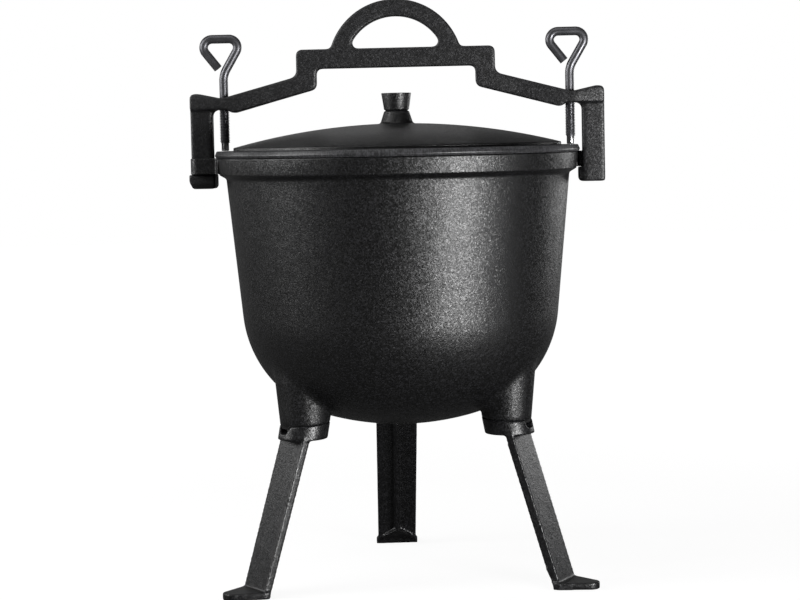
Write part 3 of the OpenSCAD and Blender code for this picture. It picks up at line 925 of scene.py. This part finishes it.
    def build(self) -> None:
        """Builds and dresses the whole casting."""
        shell = turned("bowl_shell", self.profile(), self.rim, steps=256)
        dress(shell, self.finishes.iron, "pot", Slot.BOWL, "cauldron_bowl")
        parts = [self.boss(i) for i in range(3)] + [self.key(i) for i in range(3)]
        dress(joined("bowl_bosses", parts), self.finishes.iron, "pot", Slot.BOWL, "cauldron_bowl")
        lugs = joined("bowl_lugs", [self.lug(1.0), self.lug(-1.0)])
        dress(lugs, self.finishes.iron, "pot", Slot.BOWL, "cauldron_bowl")


@dataclass
class LidCasting:
    """The domed lid, its knob and the knob's screw, in millimetres, heights from the rim."""

    finishes: Finishes
    rim: float = field(default_factory=lambda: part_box("cauldron_bowl")[1].z)
    flange_r: float = 146.2
    flange_t: float = 5.4
    dome_edge_r: float = 131.2
    dome_h: float = 25.0
    dome_r: float = 510.0
    lid_t: float = 5.0
    ring_r: float = 131.39
    ring_t: float = 4.0
    ring_h: float = 4.0
    centre_h: float = 35.2
    centre_r: float = 9.9
    centre_foot_r: float = 13.2
    knob_h: float = 14.0
    knob_r: float = 12.0

    def dome(self, radius: float, thickness: float = 0.0) -> float:
        """The dome's height at a radius, on its top or below it by a thickness.

        Args:
            radius: the radius.
            thickness: how far below the top.

        Returns:
            The height.
        """
        return self.dome_h - self.dome_r + math.sqrt((self.dome_r - thickness) ** 2 - radius ** 2)

    def profile(self) -> list[Point]:
        """The lid's section, from the axis below, round the flange and back to the axis on top.

        Returns:
            Radius and height of the points.
        """
        inner = self.ring_r - self.ring_t
        below = [(r, self.dome(r, self.lid_t)) for r in (0.0, 20, 40, 60, 80, 95, 110, 120)]
        rim = rounded([(120.0, self.dome(120.0, self.lid_t), 0.0),
                       (inner, self.dome(inner, self.lid_t), 2.0),
                       (inner, -self.ring_h, 0.8), (self.ring_r, -self.ring_h, 0.8),
                       (self.ring_r, 0.0, 0.5), (self.flange_r - 1.2, 0.0, 0.5),
                       (self.flange_r, 1.8, 1.2), (self.flange_r - 1.6, self.flange_t, 0.9),
                       (self.dome_edge_r, self.flange_t, 0.7),
                       (self.dome_edge_r, self.dome(self.dome_edge_r), 0.9),
                       (self.dome_edge_r - 6, self.dome(self.dome_edge_r - 6), 0.0)])
        top = [(r, self.dome(r)) for r in range(120, 20, -5)]
        centre = rounded([(18.0, self.dome(18.0), 0.0), (self.centre_foot_r, self.dome(14.0), 2.6),
                          (self.centre_r + 0.2, self.centre_h - 0.9, 0.3),
                          (self.centre_r - 1.1, self.centre_h, 0.0), (0.0, self.centre_h, 0.0)])
        return below + rim[1:] + top + centre

    def knob(self) -> list[Point]:
        """The knob's section.

        Returns:
            Radius and height of the points.
        """
        low, high = self.centre_h, self.centre_h + self.knob_h
        return rounded([(0.0, low + 0.02, 0.0), (self.centre_r - 1.1, low + 0.02, 0.0),
                        (self.centre_r + 0.1, low + 0.9, 0.3), (self.knob_r, high, 0.3),
                        (0.0, high, 0.0)], 4)

    def build(self) -> None:
        """Builds and dresses the lid, the knob and the screw."""
        lid = turned("lid_dome", self.profile(), self.rim, steps=256)
        # Only the outermost face of the flange is turned, and only it gets the painted sheen
        edge_r = (self.flange_r - 1.9) * MM
        paint(lid, [self.finishes.iron, self.finishes.edge],
              lambda c: int(math.hypot(c.x, c.y) > edge_r and c.z > self.rim))
        dress(lid, self.finishes.iron, "pot", Slot.LID, "lid")
        knob = turned("lid_knob_cone", self.knob(), self.rim, steps=96)
        dress(knob, self.finishes.iron, "pot", Slot.KNOB, "lid_knob")
        seat = self.dome(6.0, self.lid_t)
        head = rounded([(0.0, seat - 3.6, 0.0), (3.4, seat - 3.6, 0.0), (6.0, seat - 2.2, 1.6),
                        (6.0, seat, 0.0), (3.0, seat, 0.0), (3.0, self.centre_h + 10, 0.0),
                        (0.0, self.centre_h + 10, 0.0)])
        screw = turned("lid_knob_screw", head, self.rim, steps=48)
        dress(screw, self.finishes.bolt, "pot", Slot.BOLT, "knob_screw")


@dataclass
class ClampYoke:
    """The yoke with the D handle, two arms and two hooked legs."""

    finishes: Finishes
    voxel_mm: float = 0.9
    passes: int = 14

    def build(self) -> None:
        """Builds and dresses the yoke."""
        yoke = recast("yoke_casting", "clamp_yoke", self.voxel_mm, self.passes)
        dress(yoke, self.finishes.yoke_iron, "yoke", Slot.YOKE, "clamp_yoke")


@dataclass
class ClampScrew:
    """A clamp screw bent from wire into an eye. Lengths in millimetres, heights from the rim."""

    finishes: Finishes
    side: str
    x: float
    rim: float = field(default_factory=lambda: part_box("cauldron_bowl")[1].z)
    wire_r: float = 3.5
    thread_r: float = 4.0
    pitch: float = 1.25
    thread_h: float = 0.68
    tip_r: float = 3.0
    tip_z: float = 5.7
    tip_l: float = 6.4
    thread_top: float = 47.7
    neck_z: float = 66.7
    neck_angle: float = 30.4
    neck_r: float = 18.0
    eye_h: float = 28.6
    eye_r: float = 6.7
    eye_top_l: float = 13.8
    free_angle: float = 38.0
    free_l: float = 16.1

    def centreline(self) -> list[Vector]:
        """The wire's middle line from the thread to its free end.

        Returns:
            The line's points, in metres.
        """
        lean, free = math.radians(self.neck_angle), math.radians(self.free_angle)
        start = self.neck_z - self.neck_r * math.tan(lean / 2)
        right = ((self.eye_h - self.eye_r) * math.tan(lean) - self.eye_r / math.cos(lean),
                 self.neck_z + self.eye_h - self.eye_r)
        left = (right[0] - self.eye_top_l, right[1])
        line = [(0.0, self.thread_top - 1.5)]
        line += arc((self.neck_r, start), self.neck_r, 180, 180 - self.neck_angle, 10)
        line += arc(right, self.eye_r, -self.neck_angle, 90, 16)
        line += arc(left, self.eye_r, 90, 180 + self.free_angle, 18)
        end = line[-1]
        line.append((end[0] + self.free_l * math.sin(free), end[1] - self.free_l * math.cos(free)))
        return [Vector((self.x + x, 0.0, z)) * MM + Vector((0.0, 0.0, self.rim)) for x, z in line]

    def wire(self) -> Piece:
        """Sweeps the wire along its middle line.

        Returns:
            The piece.
        """
        curve = bpy.data.curves.new("wire", "CURVE")
        curve.dimensions = "3D"
        curve.bevel_depth = self.wire_r * MM
        curve.bevel_resolution = 7
        curve.use_fill_caps = True
        points = self.centreline()
        spline = curve.splines.new("POLY")
        spline.points.add(len(points) - 1)
        for point, spot in zip(spline.points, points):
            point.co = (*spot, 1.0)
        activate(placed("wire", curve))
        bpy.ops.object.convert(target="MESH")
        bpy.ops.object.mode_set(mode="EDIT")
        return close_up("wire", 50)

    def thread(self) -> Piece:
        """Cuts the thread: one pitch of its section, screwed upwards.

        Returns:
            The piece.
        """
        root, crest = self.thread_r - self.thread_h, self.thread_r
        # A metric flank with a flat root and crest, over one pitch
        section = [(root, 0.0), (root, 0.12), (crest, 0.52), (crest, 0.68), (root, 1.08),
                   (root, self.pitch)]
        low = self.tip_z + self.tip_l
        turns = int((self.thread_top - low) / self.pitch)
        base = Vector((self.x * MM, 0.0, self.rim + low * MM))
        draw_chain([base + Vector((r * MM, 0.0, h * MM)) for r, h in section], closed=False)
        bpy.ops.object.mode_set(mode="OBJECT")
        piece = bpy.context.active_object
        bpy.context.scene.cursor.location = (self.x * MM, 0.0, self.rim)
        bpy.ops.object.origin_set(type="ORIGIN_CURSOR")
        apply_modifier(piece, "SCREW", angle=2 * math.pi, screw_offset=self.pitch * MM,
                       iterations=turns, steps=40, render_steps=40, use_merge_vertices=True)
        settle()
        bpy.ops.object.mode_set(mode="EDIT")
        return close_up("thread", 20)

    def build(self) -> None:
        """Builds and dresses the screw."""
        low = self.tip_z + self.tip_l
        root = self.thread_r - self.thread_h
        tip = turned("tip", rounded([(0.0, self.tip_z, 0.0), (self.tip_r, self.tip_z, 0.7),
                                     (self.tip_r, low - 0.4, 0.0), (root, low + 0.2, 0.0),
                                     (root, self.thread_top, 0.0), (0.0, self.thread_top, 0.0)]),
                     self.rim, centre=(self.x * MM, 0.0), steps=40)
        screw = joined(f"clamp_screw_{self.side}_wire", [self.wire(), self.thread(), tip])
        bare = self.rim + (low - 0.2) * MM
        paint(screw, [self.finishes.wire, self.finishes.bare], lambda c: int(c.z < bare))
        dress(screw, self.finishes.wire, f"screw_{self.side}", Slot.WIRE,
              f"clamp_screw_{self.side}")


@dataclass
class Leg:
    """A leg with its bolt and washer. Lengths in millimetres."""

    finishes: Finishes
    side: str
    voxel_mm: float = 0.75
    passes: int = 8
    bolt_r: float = 3.0
    flats: float = 10.0
    head_h: float = 4.0
    washer_r: float = 6.0
    hole_r: float = 3.4

    def washer(self) -> Piece:
        """Builds the washer, its edges broken.

        Returns:
            The piece.
        """
        low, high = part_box(f"leg_washer_{self.side}")
        middle = (low + high) / 2
        thick = (high.z - low.z) / MM
        ring = rounded([(self.hole_r, 0.4, 0.0), (self.hole_r, 0.0, 0.15),
                        (self.washer_r, 0.0, 0.3),
                        (self.washer_r, thick, 0.3), (self.hole_r, thick, 0.15),
                        (self.hole_r, 0.4, 0.0)], 3)
        return turned(f"washer_{self.side}", ring, low.z, centre=(middle.x, middle.y), steps=64)

    def bolt(self) -> Piece:
        """Builds the bolt: a hexagon head with its corners turned off, and the shank.

        Returns:
            The piece.
        """
        low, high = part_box(f"leg_bolt_{self.side}")
        under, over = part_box(f"leg_washer_{self.side}")
        middle = (under + over) / 2
        corner = self.flats / math.sqrt(3) * MM
        deselect()
        deep = self.head_h * MM
        bpy.ops.mesh.primitive_cylinder_add(vertices=6, radius=corner, depth=deep,
                                            location=(middle.x, middle.y, low.z + deep / 2))
        head = bpy.context.active_object
        settle()
        cone = turned("cone", rounded([(0.0, 0.0, 0.0), (self.flats / 2 - 0.3, 0.0, 0.0),
                                       (self.flats / 2 + 1.7, 1.1, 0.0),
                                       (self.flats / 2 + 1.7, self.head_h, 0.0),
                                       (0.0, self.head_h, 0.0)]),
                      low.z, centre=(middle.x, middle.y), steps=48)
        apply_modifier(head, "BOOLEAN", operation="INTERSECT", object=cone, solver="EXACT")
        bpy.data.objects.remove(cone)
        length = (high.z - low.z) / MM
        shank = turned("shank", rounded([(0.0, self.head_h - 0.5, 0.0),
                                         (self.bolt_r, self.head_h - 0.5, 0.0),
                                         (self.bolt_r, length, 0.6), (0.0, length, 0.0)]),
                       low.z, centre=(middle.x, middle.y), steps=48)
        return joined(f"bolt_{self.side}", [head, shank])

    def build(self) -> None:
        """Builds and dresses the leg and its fasteners."""
        leg = recast(f"leg_{self.side}_casting", f"leg_{self.side}", self.voxel_mm, self.passes)
        dress(leg, self.finishes.leg_iron, "pot", Slot.LEG, f"leg_{self.side}")
        dress(self.washer(), self.finishes.bolt, "pot", Slot.BOLT, f"leg_washer_{self.side}")
        dress(self.bolt(), self.finishes.bolt, "pot", Slot.BOLT, f"leg_bolt_{self.side}")


# The studio


@dataclass(frozen=True)
class Panel:
    """A soft panel that faces the pot. Lengths in metres, angles in degrees, power in watts.

    The azimuth goes from the front to the right, and aim is the height on the pot's axis that the
    panel faces.
    """

    name: str
    azimuth: float
    elevation: float
    distance: float
    size: tuple[float, float]
    power: float
    aim: float = 0.24

    def hang(self) -> None:
        """Hangs the panel as an area lamp."""
        data = bpy.data.lights.new(self.name, "AREA")
        data.shape = "RECTANGLE"
        data.size, data.size_y = self.size
        data.energy = self.power
        lamp = placed(self.name, data)
        a, e = math.radians(self.azimuth), math.radians(self.elevation)
        away = Vector((math.sin(a) * math.cos(e), -math.cos(a) * math.cos(e), math.sin(e)))
        lamp.location = away * self.distance + Vector((0.0, 0.0, self.aim))
        lamp.rotation_mode = "QUATERNION"
        lamp.rotation_quaternion = (-away).to_track_quat("-Z", "Y")


@dataclass
class Studio:
    """White floor, soft panels and the photograph's camera, in metres and degrees."""

    distance: float = 1.786
    height: float = 0.3559
    lens: float = 99.9
    sensor: float = 36.0
    pitch: float = 4.245
    azimuth: float = 3.0
    yaw: float = 0.013
    roll: float = 1.209
    gloss_share: float = 0.12
    sky_reach: tuple[float, float] = (0.7, 0.95)
    floor_reach: tuple[float, float] = (0.4, 1.4)
    floor_r: float = 6.0
    dim: float = 0.05
    panels: tuple[Panel, ...] = (
        Panel("panel_right", 41, -3, 1.3, (0.5, 0.26), 20, aim=0.2),
        Panel("panel_left", -72, 14, 1.3, (0.4, 0.5), 6),
        Panel("panel_left_high", -62, 30, 1.4, (0.8, 0.4), 6),
        Panel("panel_back_left", -110, 19, 1.5, (0.5, 0.5), 2.6, aim=0.12),
        Panel("panel_back_right", 136, 10, 1.5, (0.5, 0.4), 2.8, aim=0.12),
        Panel("panel_back", -165, 30, 1.6, (1.0, 0.4), 0.7),
        Panel("panel_top", -20, 70, 1.6, (1.2, 0.9), 5))

    def camera(self) -> None:
        """Places the camera at the photograph's viewpoint."""
        turn = math.radians(self.azimuth)
        data = bpy.data.cameras.new("camera")
        data.lens, data.sensor_width = self.lens, self.sensor
        eye = placed("camera", data)
        eye.location = (self.distance * math.sin(turn), -self.distance * math.cos(turn),
                        self.height)
        eye.rotation_mode = "QUATERNION"
        look = (Matrix.Rotation(turn + math.radians(self.yaw), 3, "Z")
                @ Matrix.Rotation(math.radians(90 - self.pitch), 3, "X")
                @ Matrix.Rotation(math.radians(-self.roll), 3, "Z"))
        eye.rotation_quaternion = look.to_quaternion()
        bpy.context.scene.camera = eye

    def floor(self) -> None:
        """Lays the pale floor, which the camera sees as white outside the shadow."""
        deselect()
        bpy.ops.mesh.primitive_circle_add(vertices=96, radius=self.floor_r, fill_type="NGON",
                                          location=(0.0, 0.0, -0.0005))
        floor = bpy.context.active_object
        settle()
        floor.name = "studio_floor"
        material, tree, output = blank_material("studio_floor_white")
        matt = add_node(tree, "BsdfDiffuse", {"Color": srgb("#6a6a6a")})
        # It glows a little less near the pot, so the shadow keeps and no horizon shows
        away = add_node(tree, "VectorMath",
                        {0: object_place(tree)}, operation="LENGTH")
        glow = add_node(tree, "Emission",
                        {"Color": srgb("#ffffff"),
                         "Strength": spread(tree, away.outputs["Value"], 0.92, 1.0, 0.5, 1.6)})
        lit = add_node(tree, "AddShader",
                       {0: matt.outputs["BSDF"], 1: glow.outputs["Emission"]})
        mix = add_node(tree, "MixShader", {0: self.shown(tree, False),
                                                     1: matt.outputs["BSDF"],
                                                     2: lit.outputs["Shader"]})
        tree.links.new(mix.outputs["Shader"], output.inputs["Surface"])
        floor.data.materials.append(material)

    def shown(self, tree: Tree, sky: bool) -> Socket:
        """Tells where the white backdrop shows: to the camera, and behind the pot to gloss.

        The room in front of the pot stays dark for gloss, as in a studio.

        Args:
            tree: the node tree of the floor or the world.
            sky: whether it is the world's tree.

        Returns:
            The output, 1 for such a ray.
        """
        path = add_node(tree, "LightPath")
        place = add_node(tree, "TexCoord").outputs["Generated" if sky else "Object"]
        back = add_node(tree, "SeparateXYZ", {"Vector": place}).outputs["Y"]
        reach = self.sky_reach if sky else self.floor_reach
        behind = add_node(tree, "MapRange",
                          {"Value": back, "From Min": reach[0], "From Max": reach[1],
                           "To Max": self.gloss_share},
                          interpolation_type="SMOOTHSTEP").outputs["Result"]
        sent = add_node(tree, "Math", {0: path.outputs["Is Glossy Ray"],
                                                 1: path.outputs["Is Transmission Ray"]},
                        operation="MAXIMUM").outputs["Value"]
        shown = add_node(tree, "Math", {0: sent, 1: behind},
                         operation="MULTIPLY").outputs["Value"]
        return add_node(tree, "Math", {0: path.outputs["Is Camera Ray"], 1: shown},
                        operation="MAXIMUM").outputs["Value"]

    def world(self) -> None:
        """Sets a plain dim sky, which the camera sees as white."""
        world = bpy.data.worlds.new("studio")
        world.use_nodes = True
        bpy.context.scene.world = world
        tree = world.node_tree
        tree.nodes.clear()
        dim, white = (add_node(tree, "Background",
                               {"Color": srgb("#ffffff"), "Strength": level}).outputs["Background"]
                      for level in (self.dim, 1.0))
        mix = add_node(tree, "MixShader", {0: self.shown(tree, True), 1: dim, 2: white})
        output = add_node(tree, "OutputWorld")
        tree.links.new(mix.outputs["Shader"], output.inputs["Surface"])

    def build(self) -> None:
        """Builds the whole studio."""
        bpy.context.scene.view_settings.view_transform = "Standard"
        self.camera()
        self.floor()
        self.world()
        for panel in self.panels:
            panel.hang()


def main() -> None:
    """Builds the cauldron and its studio."""
    logging.basicConfig(level=logging.INFO, format="%(message)s")
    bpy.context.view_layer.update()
    finishes = Finishes()
    Studio().build()
    BowlCasting(finishes).build()
    LidCasting(finishes).build()
    ClampYoke(finishes).build()
    for side, x in (("left", -SCREW_X), ("right", SCREW_X)):
        ClampScrew(finishes, side, x).build()
    for side in ("left", "right", "rear"):
        Leg(finishes, side).build()
    deselect()


if __name__ == "__main__":
    main()
